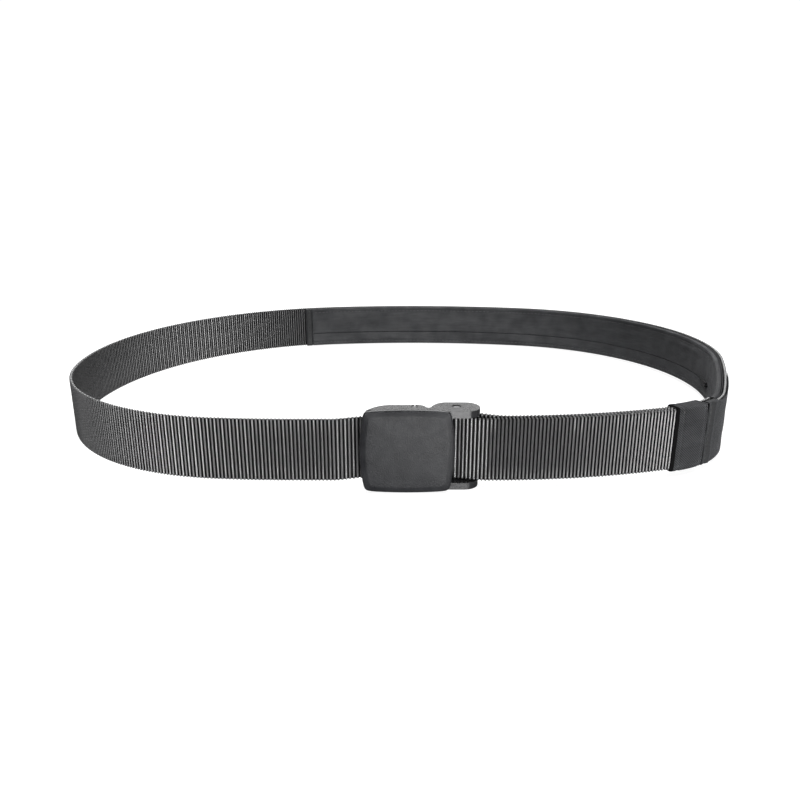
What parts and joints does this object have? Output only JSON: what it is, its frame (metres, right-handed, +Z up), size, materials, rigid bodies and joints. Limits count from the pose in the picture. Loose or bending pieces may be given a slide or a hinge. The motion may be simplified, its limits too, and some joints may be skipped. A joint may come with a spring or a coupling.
{
  "type": "money belt",
  "caption": "Webbing travel belt with a flip-cover cam buckle and a flat zipped money pocket along its inner face, standing on edge in a closed ring.",
  "frame": {"origin": "centre of the bounding box at floor level: the belt stands on its lower edge, closed in a ring", "axes": "+X along the front to the right of the buckle as a viewer faces it, +Y from the buckle to the rear of the ring, +Z up"},
  "size_m": [0.375, 0.2834, 0.0392],
  "materials": {
    "webbing": "black ribbed polyamide webbing with a slight shine on the ribs",
    "pocket_fabric": "matt charcoal polyester plain weave",
    "sleeve_fabric": "rough charcoal twill",
    "zip_nylon": "black nylon coil and tape",
    "zip_metal": "black enamelled zinc",
    "frame_plastic": "satin dark grey acetal",
    "cover_plastic": "fine-grain matt grey acetal",
    "pin_steel": "blackened steel rod"
  },
  "bodies": {
    "belt": {"main_webbing": "webbing", "anchor_webbing": "webbing", "end_sleeve": "sleeve_fabric", "pocket_wrap": "pocket_fabric", "pocket_back_panel": "pocket_fabric", "pocket_upper_panel": "pocket_fabric", "pocket_lower_panel": "pocket_fabric", "pocket_end_binding": "pocket_fabric", "zip_tape_upper": "zip_nylon", "zip_tape_lower": "zip_nylon", "zip_coil_upper": "zip_nylon", "zip_coil_lower": "zip_nylon", "zip_stop_closed": "zip_metal", "zip_stop_open": "zip_metal", "buckle_frame": "frame_plastic", "cover_pivot_pin": "pin_steel", "guide_pin": "pin_steel", "anchor_pin": "pin_steel"},
    "cover": {"cam_lever": "frame_plastic", "cover_plate": "cover_plastic"},
    "slider": {"zip_slider": "zip_metal"},
    "pull_tab": {"zip_pull_tab": "zip_metal"}
  },
  "joints": [
    {"name": "cover_hinge", "type": "hinge", "parent": "belt", "child": "cover", "pos_m": [-0.01751, -0.1361, 0.0186], "axis": [0, 0, -1], "range_deg": [0, 60]},
    {"name": "zip_travel", "type": "hinge", "parent": "belt", "child": "slider", "pos_m": [0.06147, 0.00927, 0.01172], "axis": [0, 0.013, 0.9999], "range_deg": [0, 85]},
    {"name": "tab_hinge", "type": "hinge", "parent": "slider", "child": "pull_tab", "pos_m": [0.17878, -0.016, 0.01206], "axis": [0, 0, 1], "range_deg": [0, 170]}
  ]
}
